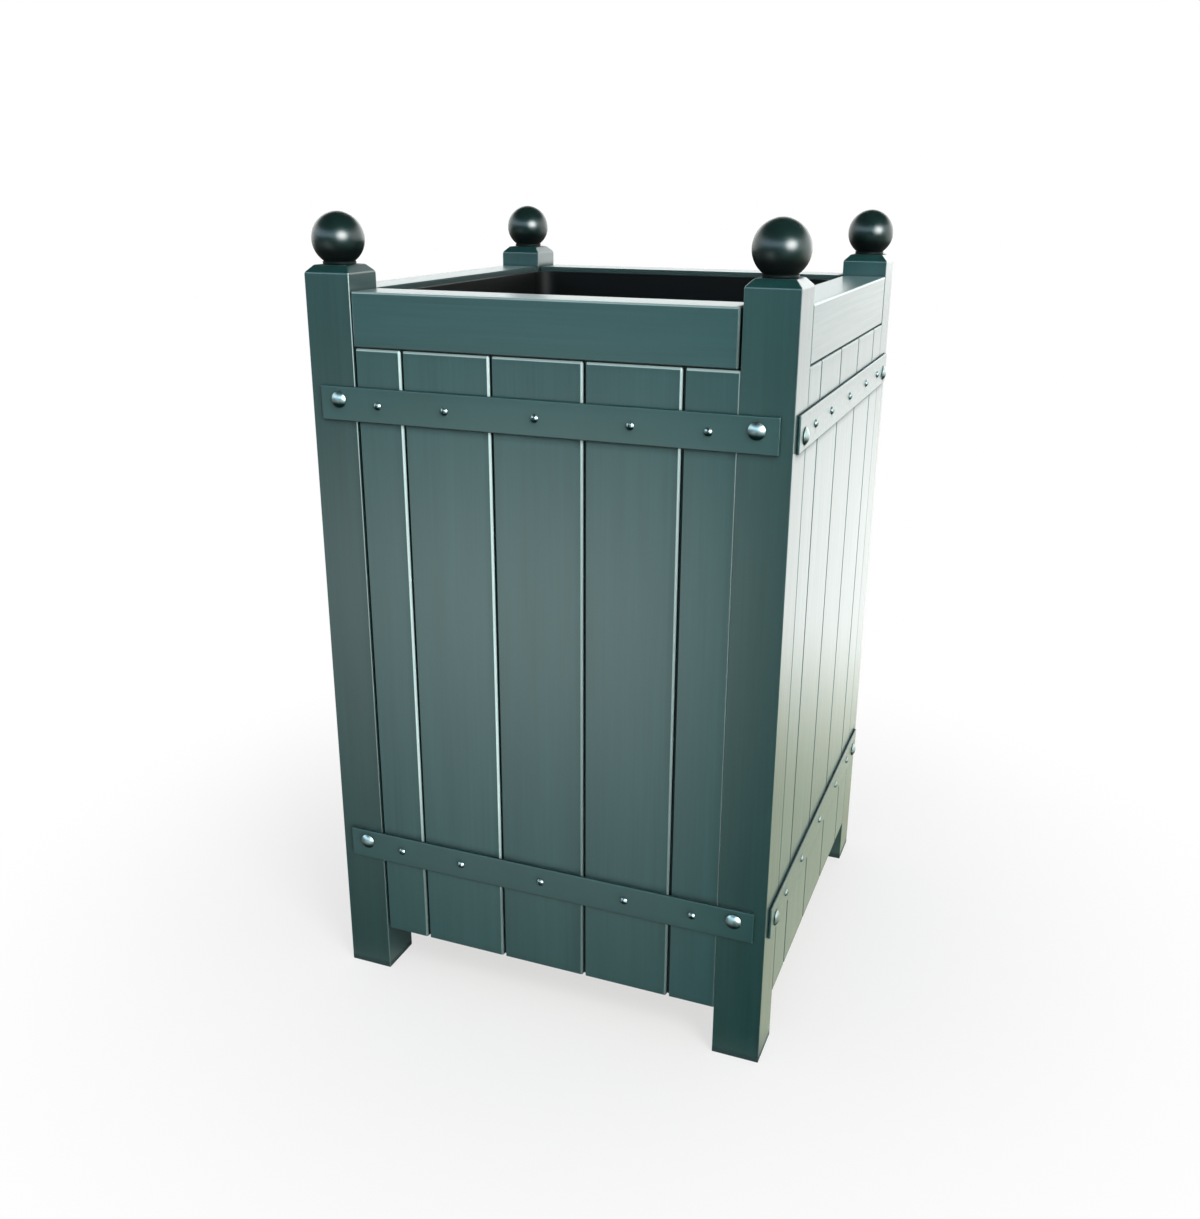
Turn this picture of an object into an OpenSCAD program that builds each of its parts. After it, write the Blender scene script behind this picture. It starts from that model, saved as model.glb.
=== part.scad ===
// Versailles planter: a square box of tongued boards between four corner posts, tied round by
// flat steel straps, with a ball finial on each post and a plastic liner that lifts out.
// Millimetres, +Z up. The origin is on the ground at the middle of the plan, the front is at -Y.

/* [Overall] */
// Width of a side, over the outer faces of its posts
box_w = 500; // [470:5:600]
// Height of the posts' flat tops above the ground
post_h = 806; // [700:1:1000]

/* [Posts] */
// Width of a square post
post_w = 51; // [49:1:60]
// Chamfer round the top of a post
top_chamfer = 7; // [4:0.5:9]
// Small chamfer on the posts' other edges
post_arris = 1.5; // [0.5:0.25:2.5]

/* [Finials] */
// Diameter of the ball
ball_d = 52.5; // [42:0.5:60]
// Diameter of the collar under the ball
collar_d = 33; // [26:1:36]
// Height of the collar
collar_h = 4; // [2:0.5:10]
// Diameter of the double-ended stud
stud_d = 8; // [6:1:10]
// Depth of the stud in the post
stud_in_post = 35; // [25:1:50]
// Depth of the stud in the finial
stud_in_finial = 25; // [15:1:30]
// Room at each end of the stud and round it, in its bores
stud_gap = 0.1; // [0.05:0.05:0.3]

/* [Top rails] */
// Height of a top rail
rail_h = 54; // [40:1:80]
// Drop from the posts' flat tops to the top rails
rail_drop = 24; // [12:1:50]
// Step from the posts' inner faces back to the top rail's inner face
rail_setback = 1; // [0.5:0.5:4]
// Small chamfer on the rails' long edges
rail_arris = 1.5; // [0.5:0.25:3]

/* [Tenons] */
// Thickness of the tenons
tenon_t = 12; // [8:1:14]
// Shoulder above and below a tenon
tenon_shoulder = 8; // [5:1:12]
// Length of the top rails' tenons
rail_tenon_l = 16; // [8:1:18]
// Length of the floor rails' tenons
floor_tenon_l = 9; // [5:0.5:11]
// Distance from the boards' backs to the floor rails' tenons
floor_tenon_set = 5; // [3:0.5:7]
// Room round a tenon in its mortise
tenon_gap = 0.2; // [0.1:0.05:0.4]

/* [Boards] */
// Thickness of the boards
board_t = 20; // [18:0.5:23]
// Width that a whole board covers
board_cover = 97; // [80:1:110]
// Height of the boards' lower ends above the ground
skirt = 56.5; // [40:0.5:90]
// Chamfer on the boards' front edges, half of a V joint
board_arris = 2.5; // [1:0.25:4]
// Gap between the shoulders of two boards
board_gap = 0.4; // [0.2:0.1:0.8]
// Thickness of the tongues
tongue_t = 6; // [5:0.5:8]
// Length of the tongues, and depth of their grooves
tongue_l = 6; // [4:0.5:8]
// Room on each face of a tongue in its groove
tongue_gap = 0.2; // [0.1:0.05:0.4]

/* [Straps] */
// Height of the flat bar
strap_h = 35; // [28:1:45]
// Thickness of the flat bar
strap_t = 3; // [2:0.5:5]
// Distance from the strap's end to the outer edge of the post
strap_inset = 12; // [4:0.5:16]
// Drop from the posts' flat tops to the middle of the upper straps
upper_strap_drop = 134.5; // [125:0.5:200]
// Height of the middle of the lower straps above the ground
lower_strap_z = 164.5; // [145:0.5:260]

/* [Strap bolts] */
// Diameter of the bolts
bolt_d = 6; // [5:1:7]
// Diameter of a bolt's domed head
bolt_head_d = 16.5; // [13:0.5:20]
// Height of a bolt's domed head
bolt_head_h = 4; // [2.5:0.5:6]
// Distance from a bolt to the outer edge of the post
bolt_inset = 33; // [29:0.5:34]
// Wood left between the bores of two bolts that cross in a post
bolt_wall = 1.5; // [1:0.5:3]
// Room round a bolt in its bore and its square hole
bolt_gap = 0.25; // [0.1:0.05:0.5]
// Width of a nut across its flats
nut_w = 10; // [9:0.5:12]
// Height of a nut
nut_h = 5; // [4:0.5:6]
// Diameter of a washer
washer_d = 12.5; // [12:0.5:14]
// Thickness of a washer
washer_t = 1.6; // [1:0.2:2]
// Length of thread past the nut
bolt_proud = 1.5; // [0.5:0.5:2]
// Depth of the bolt's end below the post's inner face
bolt_recess = 1; // [0.5:0.5:2]
// Room round a washer in its counterbore
counterbore_gap = 1.5; // [0.5:0.5:2]

/* [Screws] */
// Diameter of the strap screws
strap_screw_d = 4; // [3:0.5:5]
// Length of the strap screws under the head
strap_screw_l = 18; // [12:1:20]
// Diameter of a strap screw's domed head
strap_screw_head_d = 8; // [7:0.5:10]
// Height of a strap screw's domed head
strap_screw_head_h = 2.4; // [1.5:0.1:3.5]
// Width of the cross recess in a head
recess_w = 4; // [3:0.25:4.5]
// Width of a slot of the cross recess
recess_slot = 1; // [0.6:0.1:1.4]
// Depth of the cross recess
recess_depth = 1.2; // [0.8:0.1:1.4]
// Diameter of the countersunk screws in the floor
floor_screw_d = 4.5; // [3.5:0.5:5]
// Diameter of a countersunk head
floor_screw_head_d = 9; // [8:0.5:10]
// Length of a countersunk screw in the wood beyond the piece it holds
floor_screw_bite = 13; // [8:1:15]
// Room round a screw in its pilot hole
screw_gap = 0.1; // [0.05:0.05:0.3]

/* [Floor] */
// Height of a floor rail
floor_rail_h = 45; // [35:1:55]
// Thickness of a floor rail
floor_rail_t = 28; // [22:1:30]
// Height of the floor rails above the boards' lower ends
floor_rail_rise = 6; // [0:1:20]
// Thickness of a floor board
floor_board_t = 18; // [15:1:22]
// Width of a floor board
floor_board_w = 72; // [60:1:76]
// Gap between the floor boards and the wood round them
floor_gap = 1; // [0.5:0.5:3]

/* [Liner] */
// Gap between the liner's walls and the top rails
liner_gap = 6; // [4:0.5:12]
// Thickness of the liner's walls
liner_wall = 3; // [2:0.5:5]
// Thickness of the liner's floor
liner_floor_t = 4; // [3:0.5:8]
// Radius of the liner's outer corners
liner_corner_r = 25; // [12:1:60]
// How far the rim stands out from the walls
rim_w = 3; // [1.5:0.5:3.5]
// Height of the rim
rim_h = 4; // [2:0.5:12]
// Drop from the top rails to the liner's rim
rim_drop = 5; // [2:0.5:40]
// Gap between the liner and the floor boards
seat_gap = 0.3; // [0.1:0.1:0.5]
// Diameter of a drain hole
drain_d = 12; // [8:1:20]
// Distance between the two rows of drain holes, which lie over the gaps between the floor boards
drain_spacing = 200; // [100:10:300]

/* [Hidden] */
$fn = 64;
// Overshoot of a cut past the face it starts from
over = 1;

corners = ["front_left", "front_right", "rear_right", "rear_left"];
sides = ["front", "right", "rear", "left"];
levels = ["lower", "upper"];
boards_per_side = 5;
floor_boards = 5;

paint_colour = "#4B5F60";
steel_paint_colour = "#43565A";
finial_colour = "#26302F";
zinc_colour = "#A9ADAC";
bare_wood_colour = "#A98A62";
liner_colour = "#161818";

outer = box_w / 2;
inner = outer - post_w;
rail_t = post_w - rail_setback;
rail_top = post_h - rail_drop;
rail_bottom = rail_top - rail_h;

// Heights of the straps' middle lines, and how far the bolts of a side stand above or below them,
// so that the bolts of two sides pass each other in the post.
strap_z = [lower_strap_z, post_h - upper_strap_drop];
stagger = bolt_d / 2 + bolt_gap + bolt_wall / 2;
bolt_x = outer - bolt_inset;
bore_r = bolt_d / 2 + bolt_gap;
neck_w = bolt_d + bolt_gap;
counterbore_r = washer_d / 2 + counterbore_gap;
counterbore_depth = washer_t + nut_h + bolt_proud + bolt_recess;

// The boards' joint lines across a side, from post to post
edge_board_w = inner - (boards_per_side - 2) * board_cover / 2;
joint_x = [-inner,
           for (k = [0 : boards_per_side - 2]) -inner + edge_board_w + k * board_cover,
           inner];
function board_left(k) = joint_x[k] + board_gap / 2;
function board_right(k) = joint_x[k + 1] - board_gap / 2;
function board_x(k) = (joint_x[k] + joint_x[k + 1]) / 2;
function is_last(k) = k == boards_per_side - 1;
board_shoulder = rail_bottom - board_gap / 2;
tongue_depth = board_t / 2;
groove_t = tongue_t + 2 * tongue_gap;
pilot_d = strap_screw_d + 2 * screw_gap;

floor_pilot_d = floor_screw_d + 2 * screw_gap;
floor_screw_head_h = (floor_screw_head_d - floor_screw_d) / 2;
floor_rail_z = skirt + floor_rail_rise;
floor_z = floor_rail_z + floor_rail_h;
floor_rail_inner = outer - board_t - floor_rail_t;
floor_tenon_depth = board_t + floor_tenon_set + tenon_t / 2;
floor_board_l = 2 * (outer - board_t - floor_gap);
floor_board_pitch = (2 * (inner - floor_gap) - floor_board_w) / (floor_boards - 1);
function floor_board_x(k) = (k - (floor_boards - 1) / 2) * floor_board_pitch;

liner_w = 2 * (outer - rail_t - liner_gap);
liner_z = floor_z + floor_board_t + seat_gap;
liner_top = rail_top - rim_drop;

ball_r = ball_d / 2;
ball_z = post_h + collar_h + sqrt(pow(ball_r, 2) - pow(collar_d / 2, 2));

// ---- Places -------------------------------------------------------------------------------

// Everything on a side is drawn on the front and turned to side i.
module on_side(i) rotate(90 * i) children();

// +1 where a side's bolts stand above the strap's middle line, -1 where they stand below it
function bolt_side(i) = i % 2 == 0 ? 1 : -1;

// Extrudes an outline drawn in Y and Z along X, about the middle.
module along_x(length) translate([-length / 2, 0, 0]) rotate([90, 0, 90])
    linear_extrude(length) children();

// Turns a piece drawn up from the ground to point inwards from the front face, at depth d.
module inwards(x, d, z) translate([x, d - outer, z]) rotate([-90, 0, 0]) children();

// A rectangle with its four corners cut off
module chamfered(w, h, c) polygon([
    [c, 0], [w - c, 0], [w, c], [w, h - c], [w - c, h], [c, h], [0, h - c], [0, c]]);

// A square with rounded corners, about the middle
module rounded(w, r) {
    square([w, w - 2 * r], center = true);
    square([w - 2 * r, w], center = true);
    for (x = [-1, 1], y = [-1, 1]) translate([x, y] * (w / 2 - r)) circle(r);
}

// ---- Posts --------------------------------------------------------------------------------

// A post's face outline: square at the foot, chamfered at the top
module post_face() polygon([
    [post_arris, 0], [post_w - post_arris, 0], [post_w, post_arris],
    [post_w, post_h - top_chamfer], [post_w - top_chamfer, post_h],
    [top_chamfer, post_h], [0, post_h - top_chamfer], [0, post_arris]]);

module post_blank() translate([-outer, -outer, 0]) intersection() {
    linear_extrude(post_h) chamfered(post_w, post_w, post_arris);
    translate([0, post_w, 0]) rotate([90, 0, 0]) linear_extrude(post_w) post_face();
    rotate([90, 0, 90]) linear_extrude(post_w) post_face();
}

// The mortise for a tenon that comes out of the post along +X, at depth d from the front face
module mortise(length, d, z, h) translate([
    -inner - length - tenon_gap, d - outer - tenon_t / 2 - tenon_gap, z + tenon_shoulder - tenon_gap])
    cube([length + tenon_gap + over, tenon_t + 2 * tenon_gap,
          h - 2 * tenon_shoulder + 2 * tenon_gap]);

// What the front side cuts out of the post at its left end
module post_cuts(s) {
    mortise(rail_tenon_l, rail_t / 2, rail_bottom, rail_h);
    mortise(floor_tenon_l, floor_tenon_depth, floor_rail_z, floor_rail_h);
    translate([-inner - tongue_l, tongue_depth - groove_t / 2 - outer, skirt - board_gap])
        cube([tongue_l + over, groove_t, rail_bottom - skirt + board_gap]);
    for (z = strap_z) {
        inwards(-bolt_x, -over, z + s * stagger) cylinder(h = post_w + 2 * over, r = bore_r);
        inwards(-bolt_x, post_w - counterbore_depth, z + s * stagger)
            cylinder(h = counterbore_depth + over, r = counterbore_r);
    }
}

module post(i) color(paint_colour) on_side(i) difference() {
    post_blank();
    post_cuts(bolt_side(i));
    mirror([1, -1, 0]) post_cuts(-bolt_side(i));
    translate([post_w / 2 - outer, post_w / 2 - outer, post_h - stud_in_post - stud_gap])
        cylinder(h = stud_in_post + stud_gap + over, r = stud_d / 2 + stud_gap);
}

// ---- Finials ------------------------------------------------------------------------------

module on_post() translate([post_w / 2 - outer, post_w / 2 - outer, 0]) children();

module finial(i) color(finial_colour) on_side(i) on_post() difference() {
    union() {
        translate([0, 0, post_h]) cylinder(h = collar_h, d = collar_d);
        intersection() {
            translate([0, 0, ball_z]) sphere(ball_r);
            translate([-ball_d, -ball_d, post_h + collar_h]) cube(2 * ball_d);
        }
    }
    translate([0, 0, post_h - over])
        cylinder(h = stud_in_finial + stud_gap + over, r = stud_d / 2 + stud_gap);
}

module finial_studs() color(zinc_colour) for (i = [0 : 3]) on_side(i) on_post()
    translate([0, 0, post_h - stud_in_post]) cylinder(h = stud_in_post + stud_in_finial, d = stud_d);

// ---- Top rails ----------------------------------------------------------------------------

// A tenon at each end of a rail, at depth d from the front face
module tenons(length, d, z, h) translate([
    -inner - length, d - outer - tenon_t / 2, z + tenon_shoulder])
    cube([2 * (inner + length), tenon_t, h - 2 * tenon_shoulder]);

module top_rail(i) color(paint_colour) on_side(i) {
    tenons(rail_tenon_l, rail_t / 2, rail_bottom, rail_h);
    difference() {
        along_x(2 * inner) translate([-outer, rail_bottom]) chamfered(rail_t, rail_h, rail_arris);
        translate([-outer, tongue_depth - groove_t / 2 - outer, rail_bottom - over])
            cube([box_w, groove_t, tongue_l + over]);
    }
}

// ---- Boards -------------------------------------------------------------------------------

// The plan of board k before its groove is cut. Each board has a tongue on its left edge, and the
// last one has another on its right edge, so that both posts take a tongue.
module board_plan(k) {
    left = board_left(k);
    right = board_right(k);
    left_arris = k == 0 ? post_arris : board_arris;
    right_arris = is_last(k) ? post_arris : board_arris;
    polygon([
        [left + left_arris, -outer], [right - right_arris, -outer],
        [right, right_arris - outer], [right, board_t - outer],
        [left, board_t - outer], [left, left_arris - outer]]);
    translate([left - tongue_l, tongue_depth - tongue_t / 2 - outer])
        square([is_last(k) ? right - left + 2 * tongue_l : tongue_l + over, tongue_t]);
}

// A board has a tongue along its top for the rail, and a groove in its right edge for the next one.
module board(i, k) color(paint_colour) on_side(i) difference() {
    union() {
        intersection() {
            translate([0, 0, skirt]) linear_extrude(board_shoulder - skirt) board_plan(k);
            along_x(box_w) polygon([
                [-outer, skirt], [board_t - outer, skirt], [board_t - outer, board_shoulder],
                [board_arris - outer, board_shoulder], [-outer, board_shoulder - board_arris]]);
        }
        translate([board_left(k), tongue_depth - tongue_t / 2 - outer, board_shoulder - over])
            cube([board_right(k) - board_left(k), tongue_t, tongue_l + over]);
    }
    if (!is_last(k))
        translate([board_right(k) - tongue_l, tongue_depth - groove_t / 2 - outer, skirt - over])
            cube([tongue_l + over, groove_t, board_shoulder - skirt + over]);
    for (z = strap_z) inwards(board_x(k), -over, z)
        cylinder(h = strap_screw_l - strap_t + screw_gap + over, d = pilot_d);
    inwards(board_x(k), board_t - floor_screw_bite - screw_gap, floor_rail_z + floor_rail_h / 2)
        cylinder(h = floor_screw_bite + screw_gap + over, d = floor_pilot_d);
}

// ---- Straps and their fasteners -----------------------------------------------------------

module strap(i, level) color(steel_paint_colour) on_side(i) difference() {
    translate([strap_inset - outer, -outer - strap_t, strap_z[level] - strap_h / 2])
        cube([box_w - 2 * strap_inset, strap_t, strap_h]);
    for (x = [-bolt_x, bolt_x]) translate([x, -outer, strap_z[level] + bolt_side(i) * stagger])
        cube([2 * bore_r, 2 * strap_t + over, 2 * bore_r], center = true);
    for (k = [0 : boards_per_side - 1]) inwards(board_x(k), -strap_t - over, strap_z[level])
        cylinder(h = strap_t + 2 * over, d = pilot_d);
}

// A domed head that sits on z = 0 and rises towards -Z
module dome(d, h) {
    r = (pow(d / 2, 2) + pow(h, 2)) / (2 * h);
    intersection() {
        translate([0, 0, r - h]) sphere(r);
        translate([0, 0, -h]) cylinder(h = h, d = d);
    }
}

// Repeats a piece at every strap bolt, its z = 0 on the strap's outer face.
module at_bolts() for (i = [0 : 3], z = strap_z, x = [-bolt_x, bolt_x])
    on_side(i) inwards(x, -strap_t, z + bolt_side(i) * stagger) children();

module strap_bolts() color(steel_paint_colour) at_bolts() {
    dome(bolt_head_d, bolt_head_h);
    translate([-neck_w / 2, -neck_w / 2, 0]) cube([neck_w, neck_w, strap_t]);
    cylinder(h = strap_t + post_w - bolt_recess, d = bolt_d);
}

module strap_washers() color(zinc_colour) at_bolts()
    translate([0, 0, strap_t + post_w - counterbore_depth]) difference() {
        cylinder(h = washer_t, d = washer_d);
        translate([0, 0, -over]) cylinder(h = washer_t + 2 * over, r = bore_r);
    }

module strap_nuts() color(zinc_colour) at_bolts()
    translate([0, 0, strap_t + post_w - counterbore_depth + washer_t]) difference() {
        cylinder(h = nut_h, d = nut_w / cos(30), $fn = 6);
        translate([0, 0, -over]) cylinder(h = nut_h + 2 * over, r = bore_r);
    }

module strap_screws() color(steel_paint_colour)
    for (i = [0 : 3], z = strap_z, k = [0 : boards_per_side - 1])
        on_side(i) inwards(board_x(k), -strap_t, z) {
            difference() {
                dome(strap_screw_head_d, strap_screw_head_h);
                for (turn = [0, 90]) rotate(turn)
                    translate([-recess_w / 2, -recess_slot / 2, -strap_screw_head_h - over])
                        cube([recess_w, recess_slot, recess_depth + over]);
            }
            wood_shank(strap_screw_d, strap_screw_l);
        }

// A straight shank with a pointed end, down from z = 0
module wood_shank(d, length) {
    cylinder(h = length - d, d = d);
    translate([0, 0, length - d]) cylinder(h = d, d1 = d, d2 = d / 4);
}

// ---- Floor --------------------------------------------------------------------------------

// A countersunk screw, its flat head at z = 0 and its point along +Z
module floor_screw(length) {
    cylinder(h = floor_screw_head_h, d1 = floor_screw_head_d, d2 = floor_screw_d);
    wood_shank(floor_screw_d, length);
}

// The hole for it, through the piece that it holds
module floor_screw_hole(length) {
    translate([0, 0, -over]) cylinder(h = length + over, d = floor_pilot_d);
    translate([0, 0, -screw_gap]) cylinder(h = floor_screw_head_h + screw_gap,
        d1 = floor_screw_head_d + 4 * screw_gap, d2 = floor_pilot_d);
}

// The screws of a side's floor rail, from its inner face outwards into the boards
module at_rail_screws() for (k = [0 : boards_per_side - 1])
    translate([board_x(k), -floor_rail_inner, floor_rail_z + floor_rail_h / 2])
        rotate([90, 0, 0]) children();

// The screws of the floor boards, from their tops down into the front and rear floor rails
module at_board_screws(k) for (y = [-1, 1])
    translate([floor_board_x(k), y * (floor_rail_inner + floor_rail_t / 2), floor_z + floor_board_t])
        mirror([0, 0, 1]) children();

module floor_rail(i) color(bare_wood_colour) difference() {
    on_side(i) union() {
        tenons(floor_tenon_l, floor_tenon_depth, floor_rail_z, floor_rail_h);
        translate([-inner, -outer + board_t, floor_rail_z])
            cube([2 * inner, floor_rail_t, floor_rail_h]);
    }
    on_side(i) at_rail_screws() floor_screw_hole(floor_rail_t + over);
    if (i % 2 == 0) for (k = [0 : floor_boards - 1]) at_board_screws(k)
        cylinder(h = floor_board_t + floor_screw_bite + screw_gap, d = floor_pilot_d);
}

module floor_rail_screws() color(zinc_colour) for (i = [0 : 3]) on_side(i) at_rail_screws()
    floor_screw(floor_rail_t + floor_screw_bite);

module floor_board(k) color(bare_wood_colour) difference() {
    translate([floor_board_x(k) - floor_board_w / 2, -floor_board_l / 2, floor_z])
        cube([floor_board_w, floor_board_l, floor_board_t]);
    at_board_screws(k) floor_screw_hole(floor_board_t + over);
}

module floor_board_screws() color(zinc_colour) for (k = [0 : floor_boards - 1])
    at_board_screws(k) floor_screw(floor_board_t + floor_screw_bite);

// ---- Liner --------------------------------------------------------------------------------

module liner() color(liner_colour) difference() {
    union() {
        translate([0, 0, liner_z]) linear_extrude(liner_top - liner_z)
            rounded(liner_w, liner_corner_r);
        translate([0, 0, liner_top - rim_h]) linear_extrude(rim_h)
            rounded(liner_w + 2 * rim_w, liner_corner_r + rim_w);
    }
    translate([0, 0, liner_z + liner_floor_t]) linear_extrude(liner_top)
        rounded(liner_w - 2 * liner_wall, liner_corner_r - liner_wall);
    for (k = [0 : floor_boards - 2], y = [-drain_spacing / 2, drain_spacing / 2])
        translate([floor_board_x(k) + floor_board_pitch / 2, y, liner_z - over])
            cylinder(h = liner_floor_t + 2 * over, d = drain_d);
}

// ---- Nodes --------------------------------------------------------------------------------

for (i = [0 : 3]) post(i);
for (i = [0 : 3]) finial(i);
finial_studs();
for (i = [0 : 3]) top_rail(i);
for (i = [0 : 3], k = [0 : boards_per_side - 1])
    board(i, k);
for (i = [0 : 3], level = [0, 1])
    strap(i, level);
strap_bolts();
strap_washers();
strap_nuts();
strap_screws();
for (i = [0 : 3]) floor_rail(i);
for (k = [0 : floor_boards - 1])
    floor_board(k);
floor_rail_screws();
floor_board_screws();
liner();
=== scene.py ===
# %% [markdown]
# # A painted planter box with ball finials
# The planter is a square box of upright boards between four corner posts, tied round by flat
# steel straps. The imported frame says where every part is, so this lesson only gives each part
# its finish and its softened edges. First the frame is loaded, because every size below is
# read from it.

# %% The frame
import math
import random

import bmesh
import bpy
from mathutils import Euler, Matrix, Vector


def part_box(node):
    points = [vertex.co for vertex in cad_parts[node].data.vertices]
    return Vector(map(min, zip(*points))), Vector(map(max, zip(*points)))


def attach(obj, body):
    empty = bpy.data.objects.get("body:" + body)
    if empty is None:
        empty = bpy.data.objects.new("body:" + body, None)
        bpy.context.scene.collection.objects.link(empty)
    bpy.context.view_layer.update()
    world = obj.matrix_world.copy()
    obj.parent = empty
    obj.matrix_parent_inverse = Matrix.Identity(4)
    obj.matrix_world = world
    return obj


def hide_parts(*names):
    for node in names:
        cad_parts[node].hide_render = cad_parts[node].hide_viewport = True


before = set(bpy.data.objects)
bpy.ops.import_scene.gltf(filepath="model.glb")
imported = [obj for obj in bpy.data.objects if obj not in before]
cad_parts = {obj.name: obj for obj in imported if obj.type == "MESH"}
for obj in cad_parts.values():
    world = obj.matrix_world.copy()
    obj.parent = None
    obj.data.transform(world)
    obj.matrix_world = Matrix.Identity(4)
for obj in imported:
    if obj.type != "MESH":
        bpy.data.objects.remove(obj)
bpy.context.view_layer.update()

MM = 0.001

# %% [markdown]
# ## Sizes
# A post, a rail and a board of the front side give the sizes that all four sides share. The
# front is at -Y, and a side is the front turned by a quarter, a half or three quarters.

# %% Sizes read from the frame
SIDES = ("front", "right", "rear", "left")
CORNERS = ("front_left", "front_right", "rear_right", "rear_left")
LEVELS = ("lower", "upper")
BOARDS_PER_SIDE = 5
FLOOR_BOARDS = 5

post_low, post_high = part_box("post_front_left")
OUTER = -post_low.x
INNER = -post_high.x
POST_W = OUTER - INNER
POST_H = post_high.z
rail_low, rail_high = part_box("top_rail_front")
print(f"posts {POST_W / MM:.1f} mm square, {POST_H / MM:.1f} mm high, {2 * INNER / MM:.1f} mm apart")


def quarter_turn(count):
    """The turn that takes the front side to another side."""
    return Matrix.Rotation(count * math.pi / 2, 4, "Z")


# %% [markdown]
# ## Camera
# The picture was taken from a little right of the front, at the height of the finials, with the
# lens of a phone. Its place and lens were worked out from the corners of the box, so the render
# and the picture can be laid over each other. The numbers below are that camera, in millimetres
# and degrees.

# %% Camera
CAMERA_PLACE = Vector((479.2, -1298.1, 878.6)) * MM
CAMERA_TURN = (70.827, -0.278, 21.565)
CAMERA_LENS = 35.763
SENSOR = 36.0

camera_data = bpy.data.cameras.new("camera")
camera_data.lens = CAMERA_LENS
camera_data.sensor_width = SENSOR
camera_data.clip_start = 10 * MM
camera = bpy.data.objects.new("camera", camera_data)
camera.location = CAMERA_PLACE
camera.rotation_euler = Euler([math.radians(angle) for angle in CAMERA_TURN], "XYZ")
bpy.context.scene.collection.objects.link(camera)
bpy.context.scene.camera = camera
bpy.context.scene.view_settings.view_transform = "Standard"

# %% [markdown]
# ## Helpers for materials
# Colours are written as on a paint chart, in sRGB hex, and Blender computes in linear light, so
# one function turns them. Another adds a node, sets it and links it in one line, which keeps a
# material short enough to read.


# %% Colours and nodes
def paint_chip(code):
    """An sRGB hex colour as linear red, green, blue and alpha."""
    channels = [int(code[i:i + 2], 16) / 255 for i in (1, 3, 5)]
    return [c / 12.92 if c <= 0.04045 else ((c + 0.055) / 1.055) ** 2.4 for c in channels] + [1.0]


def add_node(tree, kind, inputs=(), **settings):
    """Adds a node. inputs maps a socket's name or number to a value or to another node's output."""
    node = tree.nodes.new(kind)
    for setting, value in settings.items():
        setattr(node, setting, value)
    for socket, value in dict(inputs).items():
        if isinstance(value, bpy.types.NodeSocket):
            tree.links.new(value, node.inputs[socket])
        else:
            node.inputs[socket].default_value = value
    return node


def new_finish(name):
    """An empty material, and its node tree."""
    material = bpy.data.materials.new(name)
    material.use_nodes = True
    material.node_tree.nodes.clear()
    return material, material.node_tree


# The Mix node's sockets share names between its kinds, so they are called by number.
MIX_FACTOR, MIX_A, MIX_B, MIX_RESULT = 0, 6, 7, 2

# %% [markdown]
# ## Floor and room
# The planter stands on a white floor that runs into a white background. What the camera sees of
# the floor keeps a soft shadow near the feet and fades to plain white further out. What the
# glossy paint mirrors is another matter: the floor lies in the planter's own shade close by, a
# broad fan of daylight crosses it in front, and it is bright behind. That is what puts the pale
# sheen on the middle of the boards and on the sides that are seen at a slant. Light Path tells
# the two kinds of ray apart.

# %% Floor
FLOOR_HALF = 15.0
SHADOW_REACH = (0.25, 0.9)
FLOOR_SELF_LIGHT = 0.65
# The planter's own shade in front, and the distance over which the daylight dies away
SHADE_REACH = (0.15, -1.75)
FADE_REACH = (1.7, 5.1)
FADE_LIGHT = (1.95, 0.42)
# The fan of daylight starts here, and its two soft edges are slopes of x over y
FAN_START = Vector((0.48, 0.8, 0))
FAN_RIGHT = (-0.2, -0.35)
FAN_RIGHT_LIGHT = (0.1, 1.0)
FAN_LEFT = (-0.48, -0.85)
FAN_LEFT_LIGHT = (1.0, 0.36)
# The floor beside the planter, under it, behind it, and further off where it darkens again
BESIDE_REACH = (-0.3, -0.18)
BESIDE_LIGHT = 0.75
UNDER_REACH = (0.2, 0.26)
BEHIND_REACH = (0.25, 1.2)
BEHIND_LIGHT = 0.98
FAR_REACH = (1.6, 6.0)
FAR_LIGHT = -0.35

floor_finish, tree = new_finish("white_floor")
place = add_node(tree, "ShaderNodeTexCoord").outputs["Object"]
distance = add_node(tree, "ShaderNodeVectorMath", {0: place}, operation="LENGTH").outputs["Value"]
width, depth = add_node(tree, "ShaderNodeSeparateXYZ", {0: place}).outputs[:2]
fade = add_node(tree, "ShaderNodeMapRange", {"Value": distance, "From Min": SHADOW_REACH[0],
    "From Max": SHADOW_REACH[1], "To Min": FLOOR_SELF_LIGHT, "To Max": 1.0},
    interpolation_type="SMOOTHSTEP").outputs["Result"]
from_start = add_node(tree, "ShaderNodeVectorMath", {0: place, 1: FAN_START}, operation="SUBTRACT")
from_start = add_node(tree, "ShaderNodeSeparateXYZ", {0: from_start.outputs[0]}).outputs
ahead = add_node(tree, "ShaderNodeMath", {0: from_start["Y"], 1: -1.0}, operation="MULTIPLY")
slope = add_node(tree, "ShaderNodeMath", {0: from_start["X"], 1: ahead.outputs[0]},
                 operation="DIVIDE").outputs[0]
daylight = None
for value, reach, light in ((depth, SHADE_REACH, (0.0, 1.0)), (distance, FADE_REACH, FADE_LIGHT),
                            (slope, FAN_RIGHT, FAN_RIGHT_LIGHT), (slope, FAN_LEFT, FAN_LEFT_LIGHT)):
    edge = add_node(tree, "ShaderNodeMapRange", {"Value": value, "From Min": reach[0],
        "From Max": reach[1], "To Min": light[0], "To Max": light[1]},
        interpolation_type="SMOOTHSTEP").outputs["Result"]
    daylight = edge if daylight is None else add_node(
        tree, "ShaderNodeMath", {0: daylight, 1: edge}, operation="MULTIPLY").outputs[0]
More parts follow.
